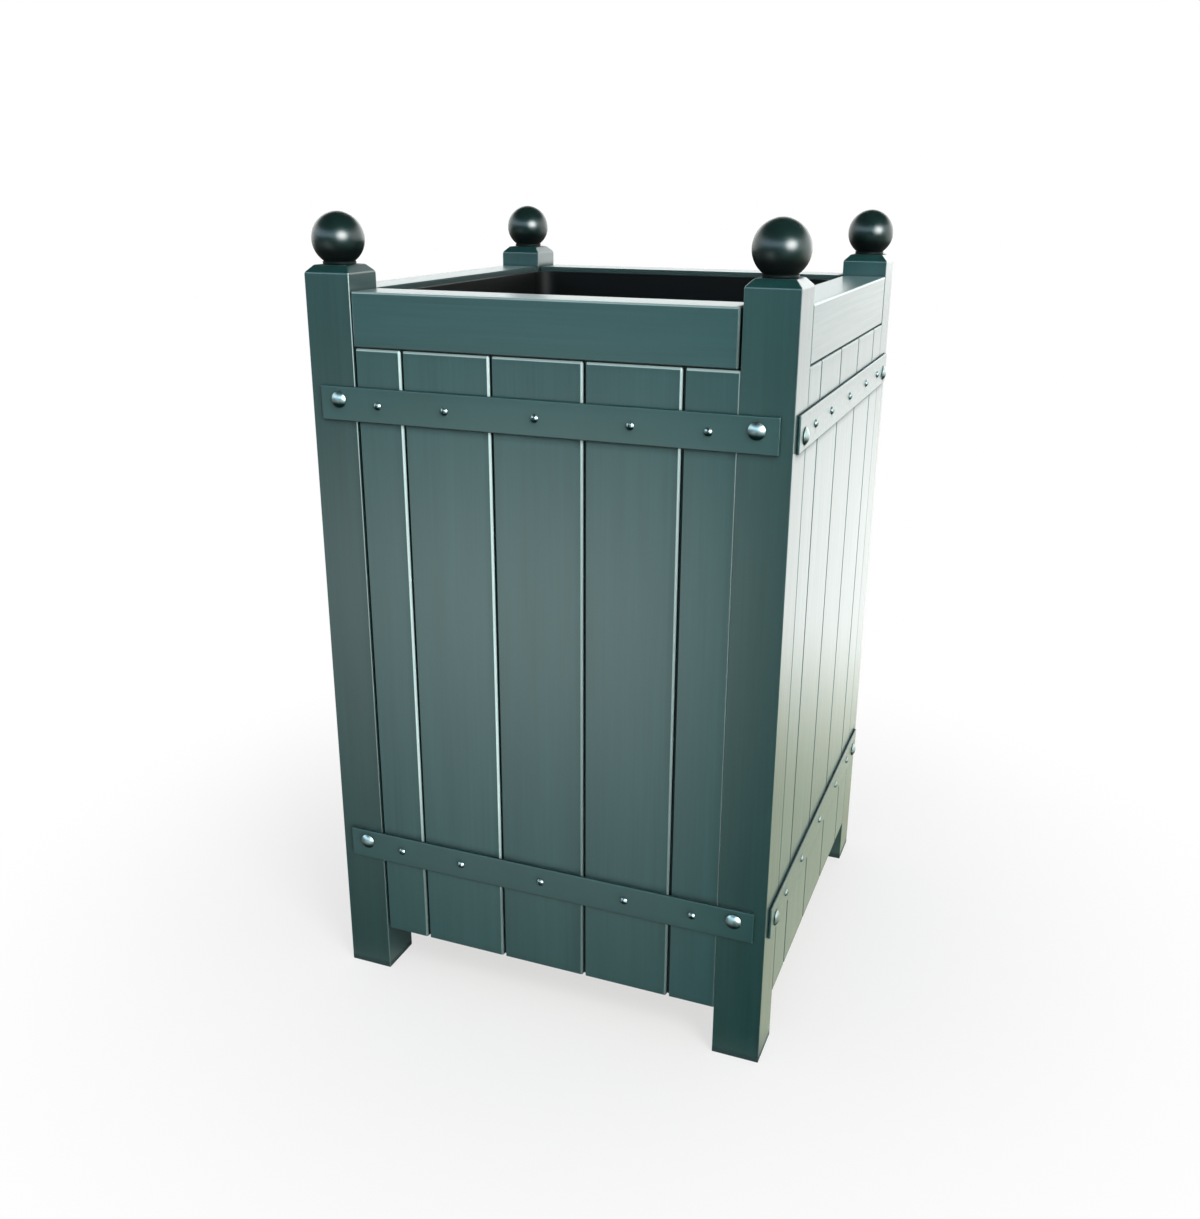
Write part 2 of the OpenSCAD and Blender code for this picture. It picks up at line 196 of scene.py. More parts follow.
# No daylight gets under the planter, which is a square round the middle.
off_middle = [add_node(tree, "ShaderNodeMath", {0: side}, operation="ABSOLUTE").outputs[0]
              for side in (width, depth)]
square = add_node(tree, "ShaderNodeMath", {0: off_middle[0], 1: off_middle[1]},
                  operation="MAXIMUM").outputs[0]
clear, beside, behind, far = [
    add_node(tree, "ShaderNodeMapRange", {"Value": value, "From Min": start, "From Max": end},
             interpolation_type="SMOOTHSTEP").outputs["Result"]
    for value, (start, end) in ((square, UNDER_REACH), (depth, BESIDE_REACH),
                                (depth, BEHIND_REACH), (depth, FAR_REACH))]
beside = add_node(tree, "ShaderNodeMath", {0: beside, 1: clear}, operation="MULTIPLY").outputs[0]
mirrored, tint = daylight, paint_chip("#F4FAF9")
for part, light, colour in ((beside, BESIDE_LIGHT, "#E7ECCF"), (behind, BEHIND_LIGHT, "#FAFBF8"),
                            (far, FAR_LIGHT, "#FAFBF8")):
    mirrored = add_node(tree, "ShaderNodeMath", {0: part, 1: light, 2: mirrored},
                        operation="MULTIPLY_ADD").outputs[0]
    tint = add_node(tree, "ShaderNodeMix", {MIX_FACTOR: part, MIX_A: tint,
        MIX_B: paint_chip(colour)}, data_type="RGBA").outputs[MIX_RESULT]
rays = add_node(tree, "ShaderNodeLightPath").outputs
matt = add_node(tree, "ShaderNodeBsdfDiffuse", {"Color": paint_chip("#EDEDEC")})
white = add_node(tree, "ShaderNodeEmission", {"Color": paint_chip("#FFFFFF")})
sheen = add_node(tree, "ShaderNodeEmission", {"Color": tint, "Strength": mirrored})
seen = add_node(tree, "ShaderNodeMixShader", {0: fade, 1: matt.outputs[0], 2: white.outputs[0]})
lit = add_node(tree, "ShaderNodeMixShader",
               {0: rays["Is Camera Ray"], 1: matt.outputs[0], 2: seen.outputs[0]})
both = add_node(tree, "ShaderNodeMixShader",
                {0: rays["Is Glossy Ray"], 1: lit.outputs[0], 2: sheen.outputs[0]})
add_node(tree, "ShaderNodeOutputMaterial", {"Surface": both.outputs[0]})
floor_finish.cycles.emission_sampling = "NONE"

floor_mesh = bmesh.new()
bmesh.ops.create_grid(floor_mesh, x_segments=1, y_segments=1, size=FLOOR_HALF)
floor_data = bpy.data.meshes.new("floor")
floor_mesh.to_mesh(floor_data)
floor_mesh.free()
floor_data.materials.append(floor_finish)
floor = bpy.data.objects.new("floor", floor_data)
bpy.context.scene.collection.objects.link(floor)
print("floor:", 2 * FLOOR_HALF, "m wide")

# %% [markdown]
# The room above the floor is the world. It lights the planter evenly from all round. In the
# gloss it shows a dark ceiling over a pale band at eye level, brighter on the camera's side, with
# one bright soft window to the right of the camera. Each ball and each bolt head mirrors the
# band and the window as a line of light that ends in a white spot.

# %% Room
AMBIENT = 0.62
CEILING = 0.03
BAND_FOOT = (0.04, 0.22)
BAND_TOP = (0.28, 0.6)
FRONT_BAND = 4.4
BACK_BAND = 2.2
# The direction's y, from where the band counts as in front to where it counts as behind
BACK_REACH = (-0.6, 0.2)
WINDOW_BEARING = math.radians(50)
WINDOW_RISE = math.radians(14)
WINDOW_EDGE = (0.56, 0.12)
WINDOW_SQUASH = 1.3
WINDOW_LIGHT = 24.0

to_window = Vector((math.sin(WINDOW_BEARING) * math.cos(WINDOW_RISE),
                    -math.cos(WINDOW_BEARING) * math.cos(WINDOW_RISE), math.sin(WINDOW_RISE)))
room = bpy.data.worlds.new("room")
room.use_nodes = True
tree = room.node_tree
tree.nodes.clear()
look = add_node(tree, "ShaderNodeTexCoord").outputs["Generated"]
parts = add_node(tree, "ShaderNodeSeparateXYZ", {0: look}).outputs
foot = add_node(tree, "ShaderNodeMapRange", {"Value": parts["Z"], "From Min": BAND_FOOT[0],
    "From Max": BAND_FOOT[1]}, interpolation_type="SMOOTHSTEP")
band = add_node(tree, "ShaderNodeMapRange", {"Value": parts["Z"], "From Min": BAND_TOP[0],
    "From Max": BAND_TOP[1], "To Min": 1.0, "To Max": 0.0}, interpolation_type="SMOOTHSTEP")
back = add_node(tree, "ShaderNodeMapRange", {"Value": parts["Y"], "From Min": BACK_REACH[0],
    "From Max": BACK_REACH[1]}, interpolation_type="SMOOTHSTEP").outputs["Result"]
# The band has a foot in front only: behind, it runs down into the bright floor.
foot = add_node(tree, "ShaderNodeMath", {0: foot.outputs["Result"], 1: back}, operation="MAXIMUM")
level = add_node(tree, "ShaderNodeMapRange", {"Value": back, "To Min": FRONT_BAND,
                                              "To Max": BACK_BAND})
glow = add_node(tree, "ShaderNodeMath", {0: band.outputs["Result"], 1: level.outputs["Result"]},
                operation="MULTIPLY")
glow = add_node(tree, "ShaderNodeMath", {0: glow.outputs[0], 1: foot.outputs[0], 2: CEILING},
                operation="MULTIPLY_ADD")
tint = add_node(tree, "ShaderNodeMix", {MIX_FACTOR: back, MIX_A: paint_chip("#C4E2F6"),
                                        MIX_B: paint_chip("#F6F9F8")}, data_type="RGBA")
# The window is a soft oval, wider than it is high.
apart = add_node(tree, "ShaderNodeVectorMath", {0: look, 1: to_window}, operation="SUBTRACT")
apart = add_node(tree, "ShaderNodeVectorMath", {0: apart.outputs[0], 1: (1, 1, WINDOW_SQUASH)},
                 operation="MULTIPLY")
apart = add_node(tree, "ShaderNodeVectorMath", {0: apart.outputs[0]}, operation="LENGTH")
window = add_node(tree, "ShaderNodeMapRange", {"Value": apart.outputs["Value"],
    "From Min": WINDOW_EDGE[0], "From Max": WINDOW_EDGE[1]},
    interpolation_type="SMOOTHERSTEP").outputs["Result"]
glow = add_node(tree, "ShaderNodeMath", {0: window, 1: WINDOW_LIGHT, 2: glow.outputs[0]},
                operation="MULTIPLY_ADD")
tint = add_node(tree, "ShaderNodeMix", {MIX_FACTOR: window, MIX_A: tint.outputs[MIX_RESULT],
                                        MIX_B: paint_chip("#FFFDF9")}, data_type="RGBA")
rays = add_node(tree, "ShaderNodeLightPath").outputs
ambient = add_node(tree, "ShaderNodeBackground", {"Color": paint_chip("#FFFFFF"),
                                                  "Strength": AMBIENT})
mirrored = add_node(tree, "ShaderNodeBackground", {"Color": tint.outputs[MIX_RESULT],
                                                   "Strength": glow.outputs["Value"]})
white = add_node(tree, "ShaderNodeBackground", {"Color": paint_chip("#FFFFFF"), "Strength": 1.0})
lit = add_node(tree, "ShaderNodeMixShader",
               {0: rays["Is Glossy Ray"], 1: ambient.outputs[0], 2: mirrored.outputs[0]})
seen = add_node(tree, "ShaderNodeMixShader",
                {0: rays["Is Camera Ray"], 1: lit.outputs[0], 2: white.outputs[0]})
add_node(tree, "ShaderNodeOutputWorld", {"Surface": seen.outputs[0]})
room.cycles.sampling_method = "NONE"
bpy.context.scene.world = room
print("window at", [round(value, 2) for value in to_window])

# %% [markdown]
# ## Lamp
# One soft lamp, the size of a window, gives the light its direction: it stands high on the right
# of the camera, so the edges that face right are bright, and the gaps and the undersides of the
# straps are dark. The glossy paint already mirrors the window of the room, so the lamp itself
# isn't mirrored.

# %% Lamp
LAMP_BEARING = math.radians(48)
LAMP_HEIGHT = 2.3
LAMP_DISTANCE = 2.6
LAMP_WIDTH = 1.1
LAMP_POWER = 46

lamp_data = bpy.data.lights.new("soft_lamp", "AREA")
lamp_data.shape = "SQUARE"
lamp_data.size = LAMP_WIDTH
lamp_data.energy = LAMP_POWER
lamp = bpy.data.objects.new("soft_lamp", lamp_data)
lamp.location = Vector((math.sin(LAMP_BEARING) * LAMP_DISTANCE,
                        -math.cos(LAMP_BEARING) * LAMP_DISTANCE, LAMP_HEIGHT))
to_middle = Vector((0, 0, POST_H / 2)) - lamp.location
lamp.rotation_euler = to_middle.to_track_quat("-Z", "Y").to_euler()
lamp.visible_camera = False
lamp.visible_glossy = False
bpy.context.scene.collection.objects.link(lamp)
print(f"lamp {to_middle.length:.2f} m from the planter")

# %% [markdown]
# ## The skin that all the enamels share
# Enamel is a coloured coat that levels into a shiny skin, so the material has a coat of its own
# over a duller colour. Painted shade sits in the crevices: beside the straps, round the heads
# and in the joints, the Ambient Occlusion node finds the places that have something close by,
# and the colour is darkened there and on faces that look down. Where an edge is rounded, a
# painted highlight lightens it, and the pieces carry a mark named arris on those faces that says
# how much. Another mark, inside, darkens the faces that look into the box to the crevice colour.

# %% Enamel skin
# Painted shade darkens the colour where things are closer than this. It is complete where a face
# looks out over less than the first share of the open, and gone at the second.
CREVICE = 9 * MM
UNSHADED_REACH = (0.64, 0.97)
SHELTER_SAMPLES = 8
CREVICE_SHADE = "#082321"
DUSTY = 0.7
PAINT_IOR = 1.5
# The crevices are looked for round a normal leaned towards the light: from the right, where the
# lamp is, from above, and from below near the ground, which the floor lights. So the painted shade
# falls on the side of things away from the light.
LIGHT_FROM_RIGHT = 0.6
LIGHT_FROM_ABOVE = 0.55
LIGHT_FROM_BELOW = -0.5
LIGHT_FROM_BELOW_REACH = (0.2, 0.6)
# Faces that look down take painted shade between these two slopes.
UNDERSIDE_SHADE_REACH = (-0.5, -0.06)
# The painted highlight on the edges is full high up and faint near the ground. A faint highlight
# fades out over a longer way down than a strong one.
HIGHLIGHT_FOOT = 0.13
HIGHLIGHT_TOPS = (1.74, 0.24)
LOW_HIGHLIGHT = 0.2
# Rain and dust dull the faces that look straight up.
UP_REACH = (0.94, 0.99)
UP_SHINE = 0.56


def enamel_skin(tree, colour, highlight_colour, dull, relief, gloss, metallic=0.0, crevice=CREVICE,
                shade_colour=CREVICE_SHADE, down=UNDERSIDE_SHADE_REACH, under=0.5):
    """Ends a material as enamel: painted shade in its crevices, painted highlights on its rounded
    edges, and a coat; gloss is its roughness.

    down is where the faces that look down take painted shade, and under the specular level below the
    coat.
    """
    facing = add_node(tree, "ShaderNodeNewGeometry").outputs["Normal"]
    height = add_node(tree, "ShaderNodeTexCoord").outputs["Object"]
    height = add_node(tree, "ShaderNodeSeparateXYZ", {0: height}).outputs["Z"]
    # The lean points towards the light: downwards near the ground, upwards higher up, and to the
    # right.
    light_tilt = add_node(tree, "ShaderNodeMapRange", {"Value": height, "From Min": LIGHT_FROM_BELOW_REACH[0],
        "From Max": LIGHT_FROM_BELOW_REACH[1], "To Min": LIGHT_FROM_BELOW, "To Max": LIGHT_FROM_ABOVE})
    toward_light = add_node(tree, "ShaderNodeCombineXYZ", {"X": LIGHT_FROM_RIGHT, "Z": light_tilt.outputs["Result"]})
    lean = add_node(tree, "ShaderNodeVectorMath", {0: facing, 1: toward_light.outputs[0]},
                    operation="ADD")
    lean = add_node(tree, "ShaderNodeVectorMath", {0: lean.outputs[0]}, operation="NORMALIZE")
    # Painted shade: the colour is darkened where the Ambient Occlusion node finds something close by.
    shelter = add_node(tree, "ShaderNodeAmbientOcclusion",
                       {"Distance": crevice, "Normal": lean.outputs[0]},
                       samples=SHELTER_SAMPLES)
    unshaded = add_node(tree, "ShaderNodeMapRange", {"Value": shelter.outputs["AO"],
        "From Min": UNSHADED_REACH[0], "From Max": UNSHADED_REACH[1]},
        interpolation_type="SMOOTHSTEP").outputs["Result"]
    upward = add_node(tree, "ShaderNodeSeparateXYZ", {0: facing}).outputs["Z"]
    # Painted shade on the faces that look down.
    off_underside = add_node(tree, "ShaderNodeMapRange", {"Value": upward, "From Min": down[0],
        "From Max": down[1]}, interpolation_type="SMOOTHSTEP").outputs["Result"]
    # The faces marked inside take the crevice colour.
    inside = add_node(tree, "ShaderNodeAttribute", attribute_name="inside").outputs["Fac"]
    outside = add_node(tree, "ShaderNodeMath", {0: 1.0, 1: inside}, operation="SUBTRACT").outputs[0]
    for kept in (off_underside, outside):
        unshaded = add_node(tree, "ShaderNodeMath", {0: unshaded, 1: kept}, operation="MULTIPLY").outputs[0]
    # The painted shade colour is mixed in wherever the face is not open to the light.
    shaded = add_node(tree, "ShaderNodeMix", {MIX_FACTOR: unshaded, MIX_A: paint_chip(shade_colour),
                                             MIX_B: colour}, data_type="RGBA")
    # Painted highlight: rounded edges marked arris are lightened towards a pale colour, most of all
    # high up.
    arris = add_node(tree, "ShaderNodeAttribute", attribute_name="arris").outputs["Fac"]
    full_highlight_height = add_node(tree, "ShaderNodeMapRange", {"Value": arris, "To Min": HIGHLIGHT_TOPS[0],
                                                 "To Max": HIGHLIGHT_TOPS[1]}).outputs["Result"]
    highlight = add_node(tree, "ShaderNodeMapRange", {"Value": height, "From Min": HIGHLIGHT_FOOT,
        "From Max": full_highlight_height, "To Min": LOW_HIGHLIGHT, "To Max": 1.0}).outputs["Result"]
    highlight = add_node(tree, "ShaderNodeMath", {0: highlight, 1: arris}, operation="MULTIPLY")
    highlighted = add_node(tree, "ShaderNodeMix", {MIX_FACTOR: highlight.outputs[0],
        MIX_A: shaded.outputs[MIX_RESULT], MIX_B: paint_chip(highlight_colour)}, data_type="RGBA")
    shiny = add_node(tree, "ShaderNodeMapRange", {"Value": upward, "From Min": UP_REACH[0],
        "From Max": UP_REACH[1], "To Min": 1.0, "To Max": UP_SHINE}).outputs["Result"]
    shiny = add_node(tree, "ShaderNodeMath", {0: shiny, 1: unshaded}, operation="MULTIPLY").outputs[0]
    dusty = add_node(tree, "ShaderNodeMapRange", {"Value": shiny, "To Min": DUSTY, "To Max": dull})
    enamel = add_node(tree, "ShaderNodeBsdfPrincipled", {
        "Base Color": highlighted.outputs[MIX_RESULT], "Roughness": dusty.outputs["Result"],
        "IOR": PAINT_IOR, "Metallic": metallic, "Specular IOR Level": under, "Coat Weight": shiny,
        "Coat Roughness": gloss, "Coat IOR": PAINT_IOR, "Normal": relief, "Coat Normal": relief})
    add_node(tree, "ShaderNodeOutputMaterial", {"Surface": enamel.outputs[0]})


# %% [markdown]
# ## Painted wood
# The wood is planed softwood under brushed satin enamel. The fibres still telegraph through the
# paint as faint long streaks, and each board took the paint a little differently. The streaks
# are a noise drawn long along the grain, so each grain direction needs a material of its own.

# %% Painted wood
# Real fibres are about a millimetre apart, which is finer than a pixel, so they are drawn wider.
FIBRE = Vector((3.4, 3.4, 170.0)) * MM
BRUSH_MARK = Vector((28.0, 28.0, 420.0)) * MM
FIBRE_RELIEF = 0.012 * MM
FIBRE_SHARE = 0.6
BRUSH_SHARE = 0.9
TONE_REACH = (0.38, 1.12)
FIBRE_REACH = (0.3, 0.7)
WOOD_DULL = (0.31, 0.37)
# Each board is cut from another stretch of wood, so its tone also moves it through the noise.
TONE_SHIFT = (7.1, 5.3, 3.7)


def along_grain(size, axis):
    """A pattern's scale for Blender's noise, its long side turned to axis 0, 1 or 2."""
    scale = [1 / size.x, 1 / size.y, 1 / size.z]
    scale[axis], scale[2] = scale[2], scale[axis]
    return scale


def painted_wood(name, axis, dark, light, highlight_colour):
    """Brushed satin enamel on softwood whose fibres run along axis."""
    material, tree = new_finish(name)
    place = add_node(tree, "ShaderNodeTexCoord").outputs["Object"]
    tone = add_node(tree, "ShaderNodeAttribute", attribute_type="OBJECT", attribute_name="tone")
    own = add_node(tree, "ShaderNodeVectorMath", {0: tone.outputs["Vector"], 1: TONE_SHIFT,
                                                  2: place}, operation="MULTIPLY_ADD")
    marks = []
    for size in (FIBRE, BRUSH_MARK):
        stretch = add_node(tree, "ShaderNodeMapping", {"Vector": own.outputs[0],
                                                       "Scale": along_grain(size, axis)})
        noise = add_node(tree, "ShaderNodeTexNoise", {"Vector": stretch.outputs[0], "Scale": 1.0,
                                                      "Detail": 3.0, "Roughness": 0.6})
        marks.append(noise.outputs["Fac"])
    fibres, brushed = marks
    weave = add_node(tree, "ShaderNodeMath", {0: fibres, 1: FIBRE_SHARE, 2: tone.outputs["Fac"]},
                     operation="MULTIPLY_ADD")
    shade = add_node(tree, "ShaderNodeMath", {0: brushed, 1: BRUSH_SHARE, 2: weave.outputs[0]},
                     operation="MULTIPLY_ADD")
    spread = add_node(tree, "ShaderNodeMapRange", {"Value": shade.outputs[0],
        "From Min": TONE_REACH[0], "From Max": TONE_REACH[1]})
    colour = add_node(tree, "ShaderNodeMix", {MIX_FACTOR: spread.outputs["Result"],
        MIX_A: paint_chip(dark), MIX_B: paint_chip(light)}, data_type="RGBA")
    dull = add_node(tree, "ShaderNodeMapRange", {"Value": fibres, "From Min": FIBRE_REACH[0],
        "From Max": FIBRE_REACH[1], "To Min": WOOD_DULL[0], "To Max": WOOD_DULL[1]})
    relief = add_node(tree, "ShaderNodeBump", {"Height": fibres, "Distance": FIBRE_RELIEF})
    enamel_skin(tree, colour.outputs[MIX_RESULT], highlight_colour, dull.outputs["Result"],
                relief.outputs[0], gloss=0.22)
    return material


# Dark and light paint, and the pale colour of the painted highlight on rounded edges
POST_TONES = ("#0D3735", "#1A4644", "#D2EEEC")
BOARD_TONES = ("#194444", "#285454", "#D2EEEC")
ENAMEL_UPRIGHT = painted_wood("satin_enamel_on_posts", 2, *POST_TONES)
ENAMEL_BOARDS = painted_wood("satin_enamel_on_boards", 2, *BOARD_TONES)
ENAMEL_ALONG = (painted_wood("satin_enamel_on_rails_x", 0, *BOARD_TONES),
                painted_wood("satin_enamel_on_rails_y", 1, *BOARD_TONES))

# %% [markdown]
# ## Painted steel
# The straps are mild steel under the same enamel. Steel is smooth, so the only texture is the
# faint orange peel of the coat. The bolt and screw heads are zinc plated and only brushed over,
# so that the plate shines through. They are metal, tinted green by the paint, and mirror the
# light much more.

# %% Painted steel
ORANGE_PEEL = 4.0 * MM
PEEL_RELIEF = 0.03 * MM
PEEL_DULL = 0.14
STEEL_CLOUD = 60 * MM
# Painted shade keeps close round a head, and lies on its underside.
HEAD_CREVICE = 2 * MM
HEAD_UNDERSIDE_SHADE = (-0.4, 0.12)


def painted_steel(name, dark, light, highlight_colour, gloss, **skin):
    """Enamel on steel, with orange peel; gloss is the coat's roughness, skin goes to enamel_skin."""
    material, tree = new_finish(name)
    place = add_node(tree, "ShaderNodeTexCoord").outputs["Object"]
    peel = add_node(tree, "ShaderNodeTexNoise", {"Vector": place, "Scale": 1 / ORANGE_PEEL,
                                                 "Detail": 2.0}).outputs["Fac"]
    cloud = add_node(tree, "ShaderNodeTexNoise", {"Vector": place, "Scale": 1 / STEEL_CLOUD,
                                                  "Detail": 2.0}).outputs["Fac"]
    colour = add_node(tree, "ShaderNodeMix", {MIX_FACTOR: cloud, MIX_A: paint_chip(dark),
                                              MIX_B: paint_chip(light)}, data_type="RGBA")
    dull = add_node(tree, "ShaderNodeMapRange", {"Value": peel, "To Min": gloss,
                                                 "To Max": gloss + PEEL_DULL})
    relief = add_node(tree, "ShaderNodeBump", {"Height": peel, "Distance": PEEL_RELIEF})
    enamel_skin(tree, colour.outputs[MIX_RESULT], highlight_colour, dull.outputs["Result"],
                relief.outputs[0], gloss, **skin)
    return material


ENAMEL_STRAPS = painted_steel("satin_enamel_on_straps", "#1B4645", "#255251", "#6F9193", gloss=0.25)
ENAMEL_HEADS = painted_steel("thin_enamel_on_plated_heads", "#8A9E9C", "#9CAEAC", "#9DB6B5",
                             gloss=0.26, metallic=1.0, crevice=HEAD_CREVICE, down=HEAD_UNDERSIDE_SHADE)

# %% [markdown]
# The balls are turned wood under a darker green, flatted between coats, so that they mirror the
# window softly. They have no grain at all: only a very faint ripple keeps the mirrored light from
# looking computed.

# %% Finial enamel
# A long reach and a near-black colour give the balls painted shade underneath and round the collar.
FINIAL_CREVICE = 60 * MM
FINIAL_SHADE = "#030807"
RIPPLE = 9 * MM
RIPPLE_RELIEF = 0.03 * MM
FINIAL_CLOUD = 35 * MM
FINIAL_DULL = (0.3, 0.4)

ENAMEL_FINIALS, tree = new_finish("dark_gloss_enamel_on_finials")
place = add_node(tree, "ShaderNodeTexCoord").outputs["Object"]
ripple = add_node(tree, "ShaderNodeTexNoise", {"Vector": place, "Scale": 1 / RIPPLE,
                                               "Detail": 1.0}).outputs["Fac"]
cloud = add_node(tree, "ShaderNodeTexNoise", {"Vector": place, "Scale": 1 / FINIAL_CLOUD,
                                              "Detail": 2.0}).outputs["Fac"]
colour = add_node(tree, "ShaderNodeMix", {MIX_FACTOR: cloud, MIX_A: paint_chip("#0B1F1C"),
                                          MIX_B: paint_chip("#162E2A")}, data_type="RGBA")
dull = add_node(tree, "ShaderNodeMapRange", {"Value": cloud, "To Min": FINIAL_DULL[0],
                                             "To Max": FINIAL_DULL[1]})
relief = add_node(tree, "ShaderNodeBump", {"Height": ripple, "Distance": RIPPLE_RELIEF})
enamel_skin(tree, colour.outputs[MIX_RESULT], "#24403C", dull.outputs["Result"],
            relief.outputs[0], gloss=0.27, crevice=FINIAL_CREVICE, shade_colour=FINIAL_SHADE, under=0.08)

# %% [markdown]
# ## Zinc, bare wood and plastic
# The parts inside are bare: plated nuts and studs, planed pine for the floor, and a black
# plastic tub.

# %% Zinc, bare wood and plastic
SPANGLE = 2.5 * MM
ZINC_DULL = (0.28, 0.42)
GROWTH = Vector((9.0, 9.0, 420.0)) * MM
GROWTH_REACH = (0.35, 0.65)
GROWTH_RELIEF = 0.1 * MM
PLANED_DULL = 0.62
PINE_IOR = 1.5
ETCH = 1.6 * MM
ETCH_RELIEF = 0.05 * MM
PLASTIC_DULL = (0.36, 0.46)
PLASTIC_IOR = 1.49
PLASTIC_SPECULAR = 0.1

# Zinc plate: bright steel under a thin crystalline coat, so soft patches a few millimetres wide.
ZINC, tree = new_finish("zinc_plated_steel")
place = add_node(tree, "ShaderNodeTexCoord").outputs["Object"]
spangle = add_node(tree, "ShaderNodeTexVoronoi", {"Vector": place, "Scale": 1 / SPANGLE},
                   feature="SMOOTH_F1").outputs["Distance"]
colour = add_node(tree, "ShaderNodeMix", {MIX_FACTOR: spangle, MIX_A: paint_chip("#9DA2A1"),
                                          MIX_B: paint_chip("#BFC3C0")}, data_type="RGBA")
dull = add_node(tree, "ShaderNodeMapRange", {"Value": spangle, "To Min": ZINC_DULL[0],
                                             "To Max": ZINC_DULL[1]})
plate = add_node(tree, "ShaderNodeBsdfPrincipled", {
    "Base Color": colour.outputs[MIX_RESULT], "Roughness": dull.outputs["Result"],
    "Metallic": 1.0})
add_node(tree, "ShaderNodeOutputMaterial", {"Surface": plate.outputs[0]})


def bare_softwood(name, axis):
    """Planed, unpainted pine: pale early wood with darker growth lines along the grain."""
    material, tree = new_finish(name)
    place = add_node(tree, "ShaderNodeTexCoord").outputs["Object"]
    stretch = add_node(tree, "ShaderNodeMapping", {"Vector": place,
        "Scale": along_grain(GROWTH, axis)})
    growth = add_node(tree, "ShaderNodeTexNoise", {"Vector": stretch.outputs[0], "Scale": 1.0,
        "Detail": 4.0, "Roughness": 0.65, "Distortion": 0.4}).outputs["Fac"]
    line = add_node(tree, "ShaderNodeMapRange", {"Value": growth, "From Min": GROWTH_REACH[0],
                                                 "From Max": GROWTH_REACH[1]})
    colour = add_node(tree, "ShaderNodeMix", {MIX_FACTOR: line.outputs["Result"],
        MIX_A: paint_chip("#8E6B43"), MIX_B: paint_chip("#BF9B6B")}, data_type="RGBA")
    relief = add_node(tree, "ShaderNodeBump", {"Height": growth, "Distance": GROWTH_RELIEF})
    wood = add_node(tree, "ShaderNodeBsdfPrincipled", {
        "Base Color": colour.outputs[MIX_RESULT], "Roughness": PLANED_DULL, "IOR": PINE_IOR,
        "Normal": relief.outputs[0]})
    add_node(tree, "ShaderNodeOutputMaterial", {"Surface": wood.outputs[0]})
    return material


BARE_WOOD = (bare_softwood("planed_pine_x", 0), bare_softwood("planed_pine_y", 1))

# Moulded polypropylene: black right through, with the dull fine grain of an etched mould.
BLACK_PLASTIC, tree = new_finish("moulded_black_polypropylene")
place = add_node(tree, "ShaderNodeTexCoord").outputs["Object"]
etch = add_node(tree, "ShaderNodeTexNoise", {"Vector": place, "Scale": 1 / ETCH,
                                             "Detail": 3.0}).outputs["Fac"]
colour = add_node(tree, "ShaderNodeMix", {MIX_FACTOR: etch, MIX_A: paint_chip("#070808"),
                                          MIX_B: paint_chip("#0D0F0F")}, data_type="RGBA")
dull = add_node(tree, "ShaderNodeMapRange", {"Value": etch, "To Min": PLASTIC_DULL[0],
                                             "To Max": PLASTIC_DULL[1]})
relief = add_node(tree, "ShaderNodeBump", {"Height": etch, "Distance": ETCH_RELIEF})
plastic = add_node(tree, "ShaderNodeBsdfPrincipled", {
    "Base Color": colour.outputs[MIX_RESULT], "Roughness": dull.outputs["Result"],
    "IOR": PLASTIC_IOR, "Specular IOR Level": PLASTIC_SPECULAR, "Normal": relief.outputs[0]})
add_node(tree, "ShaderNodeOutputMaterial", {"Surface": plastic.outputs[0]})
print("finishes:", len(bpy.data.materials))

# %% [markdown]
# ## Helpers for shapes
# Every piece starts as a box or an outline and gets its edges rounded, because no real edge is
# sharp and a rounded one catches a line of light. The rounded faces and those inside the box get
# the marks that the materials read. A finished piece rides on the frame's body and stands for
# the frame's node.

# %% Boxes, rounded edges and finished pieces
ROUND_STEPS = 4
SHARP = math.radians(35)
CLOSE = 0.01 * MM
# No two pieces took the paint alike: each gets a tone of its own, up to this much off the middle.
TONE_RANGE = 0.12
tones = random.Random(11)


def block(low, high):
    """A bmesh box between two corners."""
    bm = bmesh.new()
    bmesh.ops.create_cube(bm, size=1.0)
    size = Vector(high) - Vector(low)
    bmesh.ops.scale(bm, vec=size, verts=bm.verts)
    bmesh.ops.translate(bm, vec=(Vector(low) + Vector(high)) / 2, verts=bm.verts)
    bm.faces.layers.float.new("arris")
    return bm


def bevel_edges(bm, edges, width, steps, highlight=0.0):
    """Bevels edges, and marks the new faces with the strength of their painted highlight, from 0 to
    1.
    """
    made = bmesh.ops.bevel(bm, geom=edges, offset=width, offset_type="OFFSET", segments=steps,
                           profile=0.5, affect="EDGES", clamp_overlap=True, material=-1)
    mark = bm.faces.layers.float["arris"]
    for face in made["faces"]:
        face[mark] = highlight


def edges_where(bm, test):
    """The edges whose two ends both pass a test on their coordinates."""
    return [edge for edge in bm.edges if all(test(v.co) for v in edge.verts)]


def near(a, b):
    """Whether two measures are the same."""
    return abs(a - b) < CLOSE


def darken_inside(bm, depth):
    """Marks the faces behind a depth, which the materials darken to the crevice colour, with no
    highlight.
    """
    mark, coat = bm.faces.layers.float["arris"], bm.faces.layers.float.new("inside")
    for face in bm.faces:
        if face.calc_center_median().y > depth:
            face[mark], face[coat] = 0.0, 1.0


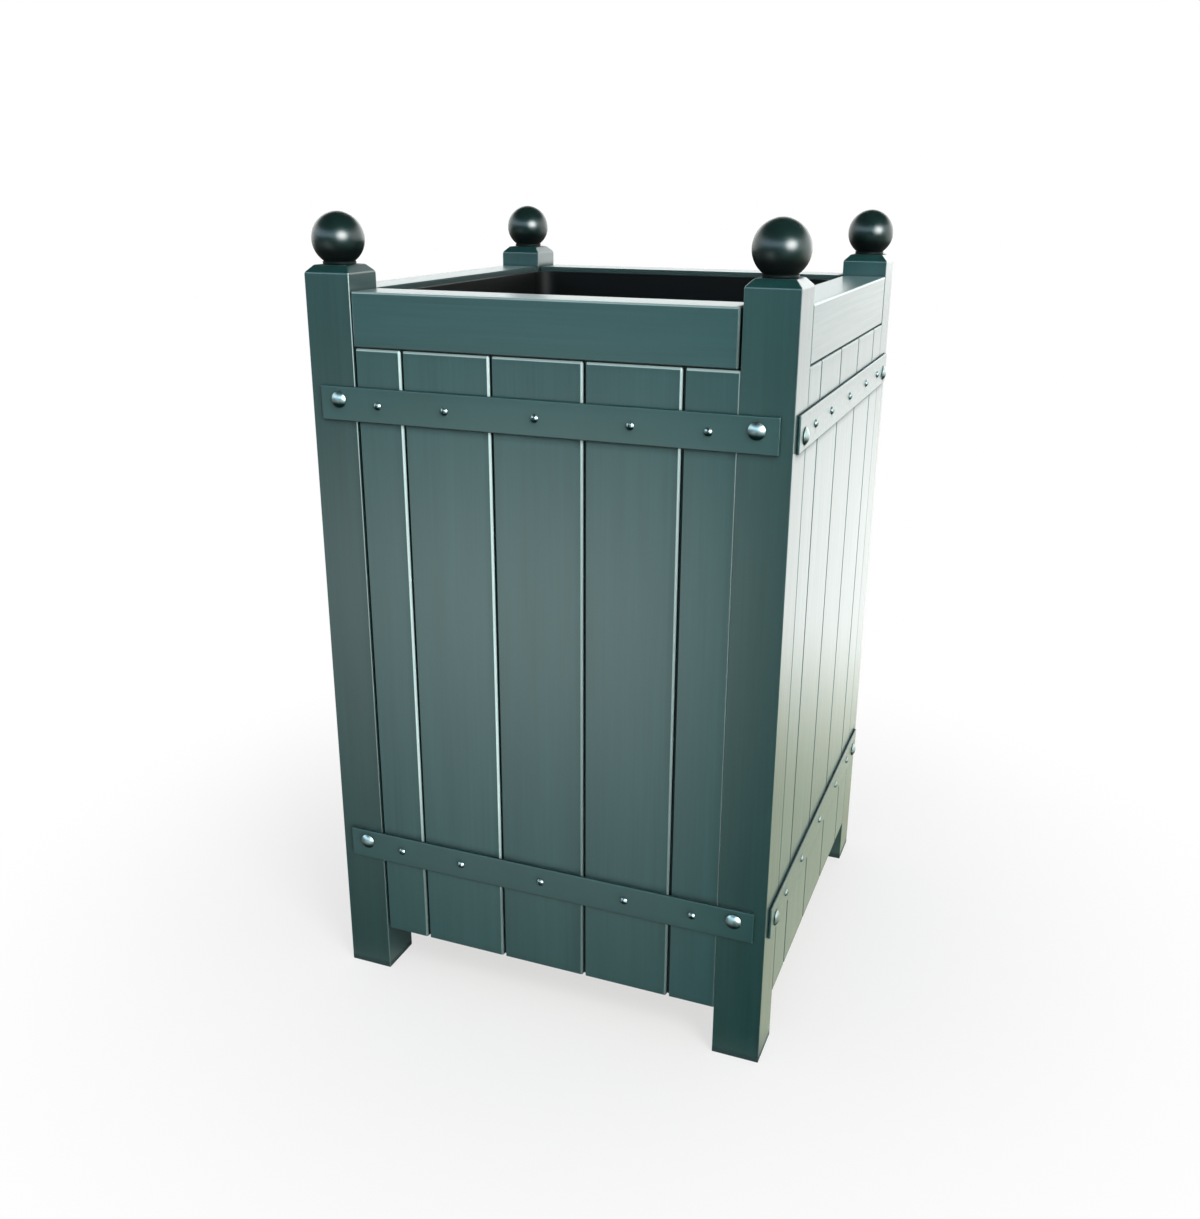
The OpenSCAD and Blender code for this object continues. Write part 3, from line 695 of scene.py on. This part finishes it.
def add_piece(name, bm, finish, nodes, body="planter", turn=0):
    """Turns a bmesh into a piece that rides on a body and stands for the frame's nodes."""
    bmesh.ops.transform(bm, matrix=quarter_turn(turn), verts=bm.verts)
    for face in bm.faces:
        face.smooth = True
    for edge in bm.edges:
        edge.smooth = edge.calc_face_angle(0) < SHARP
    mesh = bpy.data.meshes.new(name)
    bm.to_mesh(mesh)
    bm.free()
    mesh.materials.append(finish)
    piece = bpy.data.objects.new(name, mesh)
    bpy.context.scene.collection.objects.link(piece)
    # Flat faces stay flat up to the rounded edges.
    piece.modifiers.new("even_faces", "WEIGHTED_NORMAL").keep_sharp = True
    piece["tone"] = tones.uniform(-TONE_RANGE, TONE_RANGE)
    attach(piece, body)
    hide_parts(*nodes)
    return piece


# %% [markdown]
# Holes are cut with a Boolean modifier, which is applied at once by reading the result back into
# a bmesh. The cutter is thrown away. The marks on the rounded faces survive the cut.


# %% Cutting holes
DRILL_STEPS = 32


def cut(bm, cutter):
    """Takes the cutter's shape out of a bmesh."""
    parts = []
    for name, shape in (("cut_piece", bm), ("cutter", cutter)):
        mesh = bpy.data.meshes.new(name)
        shape.to_mesh(mesh)
        shape.free()
        parts.append(bpy.data.objects.new(name, mesh))
        bpy.context.scene.collection.objects.link(parts[-1])
    knife = parts[0].modifiers.new("knife", "BOOLEAN")
    knife.operation = "DIFFERENCE"
    knife.solver = "EXACT"
    knife.object = parts[1]
    result = bmesh.new()
    result.from_object(parts[0], bpy.context.evaluated_depsgraph_get())
    for part in parts:
        mesh = part.data
        bpy.data.objects.remove(part)
        bpy.data.meshes.remove(mesh)
    return result


def drill(bm, start, direction, length, radius):
    """Adds a cylinder to a cutter, from a start point along a direction."""
    along = Vector(direction).to_track_quat("Z", "Y").to_matrix().to_4x4()
    middle = Vector(start) + Vector(direction) * length / 2
    bmesh.ops.create_cone(bm, cap_ends=True, segments=DRILL_STEPS, radius1=radius, radius2=radius,
                          depth=length, matrix=Matrix.Translation(middle) @ along)


# %% [markdown]
# ## Posts
# A post is one length of square timber. Its top is chamfered all round, and every edge is then
# eased by hand with sandpaper. On its inner faces it is counterbored for the nuts of the strap
# bolts, which only show when the liner is out.

# %% Posts
TOP_CHAMFER = 7 * MM
EASED = 2.4 * MM
# The arris beside the first board of each side gets a far stronger painted highlight than the post's
# others.
POST_HIGHLIGHT = 0.08
JOINT_HIGHLIGHT = 0.68
COUNTERBORE_R = 7.75 * MM
COUNTERBORE_DEPTH = 9.1 * MM
BOLT_INSET = 33 * MM
STAGGER = 4 * MM
# The straps' middles
STRAP_Z = [sum(corner.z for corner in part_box(f"strap_front_{level}")) / 2 for level in LEVELS]
BOLT_X = OUTER - BOLT_INSET


def bolt_rise(turn):
    """How far the bolts of a side stand above the middle of its straps."""
    return STAGGER if turn % 2 == 0 else -STAGGER


for turn, corner in enumerate(CORNERS):
    post = block((-OUTER, -OUTER, 0), (-INNER, -INNER, POST_H))
    bevel_edges(post, edges_where(post, lambda p: near(p.z, POST_H)), TOP_CHAMFER, 1)
    bevel_edges(post, edges_where(post, lambda p: p.z > POST_H - TOP_CHAMFER - MM), EASED / 2, 2)
    bevel_edges(post, [edge for edge in post.edges if edge.calc_face_angle(0) > SHARP], EASED, 3,
                highlight=POST_HIGHLIGHT)
    mark = post.faces.layers.float["arris"]
    for face in post.faces:
        middle = face.calc_center_median()
        if middle.x > -INNER - EASED / 2 and middle.y < -OUTER + EASED and face[mark]:
            face[mark] = JOINT_HIGHLIGHT
    bores = bmesh.new()
    for z in STRAP_Z:
        drill(bores, (-BOLT_X, -INNER - COUNTERBORE_DEPTH, z + bolt_rise(turn)), (0, 1, 0),
              COUNTERBORE_DEPTH + MM, COUNTERBORE_R)
        drill(bores, (-INNER - COUNTERBORE_DEPTH, -BOLT_X, z - bolt_rise(turn)), (1, 0, 0),
              COUNTERBORE_DEPTH + MM, COUNTERBORE_R)
    add_piece(f"painted_post_{corner}", cut(post, bores), ENAMEL_UPRIGHT,
              [f"post_{corner}"], turn=turn)
print("posts:", len(CORNERS))

# %% [markdown]
# ## Top rails
# A top rail is a planed length between two posts, flush with their faces. Its edges are eased
# all round, and a narrow gap is left at each end, where it shrank from the post. The gap on the
# right is the wider one, and shows as a dark line.

# %% Top rails
RAIL_GAPS = (1.2 * MM, 2.6 * MM)
RAIL_EASED = 1.8 * MM
# Painted highlights on the upper edges and the right end, and a faint painted sheen on the top.
RAIL_HIGHLIGHT = 0.45
RAIL_END_HIGHLIGHTS = (0.0, 0.22)
RAIL_TOP_SHEEN = 0.13

for turn, side in enumerate(SIDES):
    ends = (RAIL_GAPS[0] - INNER, INNER - RAIL_GAPS[1])
    rail = block((ends[0], rail_low.y, rail_low.z), (ends[1], rail_high.y, rail_high.z))
    for end, highlight in zip(ends, RAIL_END_HIGHLIGHTS):
        bevel_edges(rail, edges_where(rail, lambda p: near(p.x, end)), RAIL_EASED, 3, highlight)
    for z, highlight in ((rail_low.z, 0.0), (rail_high.z, RAIL_HIGHLIGHT)):
        bevel_edges(rail, [edge for edge in edges_where(rail, lambda p: near(p.z, z))
                           if edge.calc_length() > POST_W], RAIL_EASED, 3, highlight)
    mark = rail.faces.layers.float["arris"]
    for face in rail.faces:
        if near(face.calc_center_median().z, rail_high.z):
            face[mark] = RAIL_TOP_SHEEN
    darken_inside(rail, rail_high.y - RAIL_EASED)
    add_piece(f"painted_rail_{side}", rail, ENAMEL_ALONG[turn % 2],
              [f"top_rail_{side}"], turn=turn)
print("rails:", len(SIDES))

# %% [markdown]
# ## Boards
# Each board has a tongue on its left edge and a groove in its right one, so that the boards can
# swell and shrink without opening. In front the tongue side stands back a little, which leaves a
# gap a few millimetres deep, darkened further in, and the groove side is well rounded over, with a
# painted highlight that makes the bright line beside the gap. The board starts as its outline seen
# from above, which is then drawn up to its height.

# %% Boards
TONGUE_L = 6 * MM
TONGUE_T = 6 * MM
GROOVE_T = 6.4 * MM
# The boards of the right and left sides were driven up tighter.
LIP_GAPS = (3.2 * MM, 1.3 * MM, 3.2 * MM, 1.3 * MM)
LIP_DEPTH = 5 * MM
TOP_GAP = 0.8 * MM
TOP_ROUND = 2.2 * MM
GROOVE_ROUND = 2.1 * MM
POST_SIDE_ROUND = 1.6 * MM
TONGUE_ROUND = 0.9 * MM
FOOT_ROUND = 0.3 * MM
# The tops of the boards get a stronger painted highlight on the front and the rear.
TOP_HIGHLIGHTS = (0.55, 0.1, 0.55, 0.1)
TONGUE_HIGHLIGHT = 0.15
# Each groove side gets a painted highlight of a slightly different strength.
GROOVE_HIGHLIGHTS = (0.98, 1.0, 0.7, 0.7, 0.45)
# Faces deeper than this behind the front, in a joint and at the back, are darkened to the crevice
# colour.
JOINT_DARK_DEPTH = 2 * MM
SLACK = 0.1 * MM


def edge_profile(x, to, thickness, middle):
    """Four points of a tongue or a groove from a board's edge at x to another x, front to back."""
    front, back = middle - thickness / 2, middle + thickness / 2
    return [(x, front), (to, front), (to, back), (x, back)]


def board(left, right, front, back, foot, top, is_last, lip_gap, highlight, top_highlight):
    """A tongued board between its two shoulders, its front edges rounded over."""
    middle = (front + back) / 2
    right_edge = (edge_profile(right, right + TONGUE_L, TONGUE_T, middle) if is_last
                  else edge_profile(right, right - TONGUE_L, GROOVE_T, middle))
    left_edge = edge_profile(left, left - TONGUE_L, TONGUE_T, middle)
    outline = [(left + lip_gap, front), (right, front), *right_edge, (right, back), (left, back),
               *reversed(left_edge), (left, front + LIP_DEPTH), (left + lip_gap, front + LIP_DEPTH)]
    bm = bmesh.new()
    bm.faces.layers.float.new("arris")
    foot_face = bm.faces.new([bm.verts.new((x, y, foot)) for x, y in outline])
    drawn = bmesh.ops.extrude_face_region(bm, geom=[foot_face], use_keep_orig=True)
    upper = [item for item in drawn["geom"] if isinstance(item, bmesh.types.BMVert)]
    bmesh.ops.translate(bm, vec=(0, 0, top - foot), verts=upper)
    bmesh.ops.recalc_face_normals(bm, faces=bm.faces)
    bevel_edges(bm, edges_where(bm, lambda p: near(p.z, top) and near(p.y, front)), TOP_ROUND,
                ROUND_STEPS, top_highlight)
    # The side arrises run up the front and over the rounded top, and a groove's goes on to the
    # groove. One that stopped at the end of the round could be no wider than a millimetre.
    groove_side = (right, GROOVE_ROUND, highlight, middle)
    post_side = (right, POST_SIDE_ROUND, highlight, front)
    for x, width, amount, back in (post_side if is_last else groove_side,
                                   (left + lip_gap, TONGUE_ROUND, TONGUE_HIGHLIGHT, front)):
        arris = edges_where(bm, lambda p: near(p.x, x) and (
            p.y < front + TOP_ROUND + SLACK or near(p.z, top) and p.y < back))
        bevel_edges(bm, arris, width, ROUND_STEPS, amount)
    bevel_edges(bm, edges_where(bm, lambda p: near(p.z, foot) and p.y < front + TOP_ROUND),
                FOOT_ROUND, 2)
    return bm


for turn, side in enumerate(SIDES):
    for k in range(1, BOARDS_PER_SIDE + 1):
        low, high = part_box(f"board_front_{k}")
        is_last = k == BOARDS_PER_SIDE
        plank = board(low.x + TONGUE_L, high.x - TONGUE_L if is_last else high.x, low.y, high.y,
                      low.z, high.z - TONGUE_L - TOP_GAP, is_last, LIP_GAPS[turn],
                      GROOVE_HIGHLIGHTS[(k - 1 + 2 * turn) % len(GROOVE_HIGHLIGHTS)], TOP_HIGHLIGHTS[turn])
        darken_inside(plank, low.y + JOINT_DARK_DEPTH)
        add_piece(f"painted_board_{side}_{k}", plank, ENAMEL_BOARDS,
                  [f"board_{side}_{k}"], turn=turn)
print("boards:", len(SIDES) * BOARDS_PER_SIDE)

# %% [markdown]
# ## Straps
# A strap is a length of hot-rolled flat bar with its edges filed off. It lies on the boards, so
# it is a bevelled box 3 mm thick.

# %% Straps
FILED = 1.2 * MM

for turn, side in enumerate(SIDES):
    for level in LEVELS:
        low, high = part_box(f"strap_front_{level}")
        bar = block(low, high)
        bevel_edges(bar, list(bar.edges), FILED, 3)
        add_piece(f"painted_strap_{side}_{level}", bar, ENAMEL_STRAPS,
                  [f"strap_{side}_{level}"], turn=turn)
print("straps:", len(SIDES) * len(LEVELS))

# %% [markdown]
# ## Bolts and screws
# A coach bolt has a plain domed head, forged with a small rim, and a screw's head is smaller,
# with a cross recess. Both are round, so a profile is drawn once and spun round the axis. The
# profile of a dome is an arc through its rim and its top. One bolt and one screw are made, and
# copies of them are set in their places.

# %% Spinning and repeating
SPIN_STEPS = 32
STRAP_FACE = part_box("strap_front_upper")[0].y


def spun(profile, steps=SPIN_STEPS):
    """Spins a profile of (radius, height) points, from axis to axis, into a closed shape."""
    bm = bmesh.new()
    points = [bm.verts.new((radius, 0, height)) for radius, height in profile]
    lines = [bm.edges.new(pair) for pair in zip(points, points[1:])]
    bmesh.ops.spin(bm, geom=points + lines, axis=(0, 0, 1), cent=(0, 0, 0), dvec=(0, 0, 0),
                   angle=math.tau, steps=steps, use_merge=True)
    bmesh.ops.remove_doubles(bm, verts=bm.verts, dist=0.001 * MM)
    bmesh.ops.recalc_face_normals(bm, faces=bm.faces)
    bm.faces.layers.float.new("arris")
    return bm


def dome(radius, height, rim, steps):
    """Profile points from the rim of a domed head to its top, on one arc above a small rim."""
    rise = height - rim
    curve = (radius ** 2 + rise ** 2) / (2 * rise)
    reach = math.asin(radius / curve)
    return [(curve * math.sin(reach * (1 - i / steps)),
             rim + curve * math.cos(reach * (1 - i / steps)) - (curve - rise))
            for i in range(steps + 1)]


def at_places(source, places):
    """A bmesh with a copy of the source at each place."""
    mesh = bpy.data.meshes.new("pattern")
    source.to_mesh(mesh)
    source.free()
    bm = bmesh.new()
    for place in places:
        known = set(bm.verts)
        bm.from_mesh(mesh)
        bmesh.ops.transform(bm, matrix=place, verts=[v for v in bm.verts if v not in known])
    bpy.data.meshes.remove(mesh)
    return bm


def facing_out(x, z, turn):
    """A place on the straps' outer face, its local +Z pointing away from the planter."""
    out = Matrix.Rotation(math.pi / 2, 4, "X")
    return quarter_turn(turn) @ Matrix.Translation((x, STRAP_FACE, z)) @ out


# %% Bolts
BOLT_HEAD_R = 8.25 * MM
BOLT_HEAD_H = 4 * MM
BOLT_RIM = 0.7 * MM
BOLT_R = 3 * MM
BOLT_L = 53 * MM
BOLT_POINT = 0.7 * MM
BOLT_DOME_STEPS = 7

bolt = spun([(0, -BOLT_L), (BOLT_R - BOLT_POINT, -BOLT_L), (BOLT_R, BOLT_POINT - BOLT_L),
             (BOLT_R, 0), (BOLT_HEAD_R - BOLT_RIM / 2, 0),
             *dome(BOLT_HEAD_R, BOLT_HEAD_H, BOLT_RIM, BOLT_DOME_STEPS)])
places = [facing_out(x, z + bolt_rise(turn), turn)
          for turn in range(len(SIDES)) for z in STRAP_Z for x in (-BOLT_X, BOLT_X)]
add_piece("domed_strap_bolts", at_places(bolt, places), ENAMEL_HEADS,
          ["strap_bolts"])
print("bolts:", len(places))

# %% Screws
SCREW_HEAD_R = 4 * MM
SCREW_HEAD_H = 2.4 * MM
SCREW_RIM = 0.3 * MM
SCREW_R = 2 * MM
SCREW_L = 17.8 * MM
RECESS_W = 4 * MM
RECESS_SLOT = 1 * MM
RECESS_DEPTH = 1.2 * MM
SCREW_DOME_STEPS = 5

screw = spun([(0, -SCREW_L), (SCREW_R / 4, -SCREW_L), (SCREW_R, 2 * SCREW_R - SCREW_L),
              (SCREW_R, 0), (SCREW_HEAD_R - SCREW_RIM / 2, 0),
              *dome(SCREW_HEAD_R, SCREW_HEAD_H, SCREW_RIM, SCREW_DOME_STEPS)])
# Two crossed slots make the recess.
for turn in (0, 1):
    slot = block((-RECESS_W / 2, -RECESS_SLOT / 2, SCREW_HEAD_H - RECESS_DEPTH),
                 (RECESS_W / 2, RECESS_SLOT / 2, SCREW_HEAD_H + MM))
    bmesh.ops.transform(slot, matrix=quarter_turn(turn), verts=slot.verts)
    screw = cut(screw, slot)
board_middles = []
for k in range(1, BOARDS_PER_SIDE + 1):
    low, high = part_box(f"board_front_{k}")
    tongue_right = TONGUE_L if k == BOARDS_PER_SIDE else 0
    board_middles.append((low.x + TONGUE_L + high.x - tongue_right) / 2)
# A screw stops where it is tight, so the crosses point every way.
places = [facing_out(x, z, turn) @ Matrix.Rotation(tones.uniform(0, math.pi / 2), 4, "Z")
          for turn in range(len(SIDES)) for z in STRAP_Z for x in board_middles]
add_piece("cross_head_strap_screws", at_places(screw, places), ENAMEL_HEADS,
          ["strap_screws"])
print("screws:", len(places))

# %% [markdown]
# ## Finials
# A finial is turned on a lathe in one piece: a ball over a short collar. Spinning a profile is
# just what the lathe does. The collar's edges are slightly broken, and a fine line is left where
# the ball begins.

# %% Finials
COLLAR_R = 16.5 * MM
COLLAR_H = 4 * MM
COLLAR_BREAK = 0.7 * MM
QUIRK = 0.8 * MM
BALL_STEPS = 40
ROUND_BALL_STEPS = 72

finial_low, finial_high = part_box("finial_front_left")
BALL_R = (finial_high.x - finial_low.x) / 2
ball_middle = finial_high.z - BALL_R
start = math.asin((COLLAR_R - QUIRK) / BALL_R)
ball_arc = [(BALL_R * math.sin(start + (math.pi - start) * i / BALL_STEPS),
             ball_middle - BALL_R * math.cos(start + (math.pi - start) * i / BALL_STEPS))
            for i in range(BALL_STEPS + 1)]
collar_top = POST_H + COLLAR_H
collar = [(0, POST_H), (COLLAR_R - COLLAR_BREAK, POST_H), (COLLAR_R, POST_H + COLLAR_BREAK),
          (COLLAR_R, collar_top - 2 * COLLAR_BREAK), (COLLAR_R - QUIRK, collar_top - COLLAR_BREAK)]
for turn, corner in enumerate(CORNERS):
    finial = spun(collar + ball_arc, ROUND_BALL_STEPS)
    bmesh.ops.translate(finial, vec=(POST_W / 2 - OUTER, POST_W / 2 - OUTER, 0), verts=finial.verts)
    add_piece(f"turned_finial_{corner}", finial, ENAMEL_FINIALS,
              [f"finial_{corner}"], turn=turn)
print(f"finials: {len(CORNERS)}, balls {2 * BALL_R / MM:.1f} mm across")

# %% [markdown]
# ## Liner
# The liner is a tub moulded in one piece. It starts as the slab of its rim, seen from above: the
# slab's underside is inset and drawn down to make the outside, and its top is inset and pushed
# in to make the inside, which leaves a wall of even thickness.

# %% Liner
RIM_W = 3 * MM
WALL = 3 * MM
TUB_FLOOR = 4 * MM
RIM_H = 4 * MM
CORNER_R = 28 * MM
CORNER_STEPS = 8
TUB_EASED = 1 * MM
DRAIN_R = 6 * MM
DRAIN_ROW = 100 * MM

tub_low, tub_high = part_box("liner")


def drawn_in(bm, height, by, to):
    """Insets the flat face at a height and moves the inner part to another height."""
    face = [f for f in bm.faces if near(f.calc_center_median().z, height)]
    bmesh.ops.inset_region(bm, faces=face, thickness=by, use_even_offset=True)
    inner = bmesh.ops.extrude_face_region(bm, geom=face)
    verts = [v for v in inner["geom"] if isinstance(v, bmesh.types.BMVert)]
    bmesh.ops.delete(bm, geom=face, context="FACES")
    bmesh.ops.translate(bm, vec=(0, 0, to - height), verts=verts)


tub = block((tub_low.x, tub_low.y, tub_high.z - RIM_H), tub_high)
corners = [edge for edge in tub.edges if near(edge.verts[0].co.x, edge.verts[1].co.x)
           and near(edge.verts[0].co.y, edge.verts[1].co.y)]
bevel_edges(tub, corners, CORNER_R, CORNER_STEPS)
drawn_in(tub, tub_high.z - RIM_H, RIM_W, tub_low.z)
drawn_in(tub, tub_high.z, RIM_W + WALL, tub_low.z + TUB_FLOOR)
bmesh.ops.recalc_face_normals(tub, faces=tub.faces)
brinks = [edge for edge in tub.edges if edge.calc_face_angle(0) > SHARP]
bevel_edges(tub, brinks, TUB_EASED, 2)
board_gaps = [(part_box(f"floor_board_{k}")[1].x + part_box(f"floor_board_{k + 1}")[0].x) / 2
              for k in range(1, FLOOR_BOARDS)]
drains = bmesh.new()
for x in board_gaps:
    for y in (-DRAIN_ROW, DRAIN_ROW):
        drill(drains, (x, y, tub_low.z - MM), (0, 0, 1), TUB_FLOOR + 2 * MM, DRAIN_R)
add_piece("moulded_liner", cut(tub, drains), BLACK_PLASTIC, ["liner"],
          body="liner")
print(f"liner: {(tub_high.z - tub_low.z) / MM:.0f} mm deep, {2 * len(board_gaps)} drain holes")

# %% [markdown]
# ## The parts that keep the frame's shape
# The floor, its screws, the nuts, washers and studs are plain turned or sawn parts, and the
# frame's own meshes are right for them. They only get their finish.

# %% Frame parts
def finish_node(name, finish):
    """Gives one of the frame's own parts its finish."""
    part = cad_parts[name]
    for material_slot in part.material_slots:
        material_slot.material = finish


for name in ("finial_studs", "strap_washers", "strap_nuts", "floor_rail_screws",
             "floor_board_screws"):
    finish_node(name, ZINC)
for turn, side in enumerate(SIDES):
    finish_node(f"floor_rail_{side}", BARE_WOOD[turn % 2])
for k in range(1, FLOOR_BOARDS + 1):
    finish_node(f"floor_board_{k}", BARE_WOOD[1])
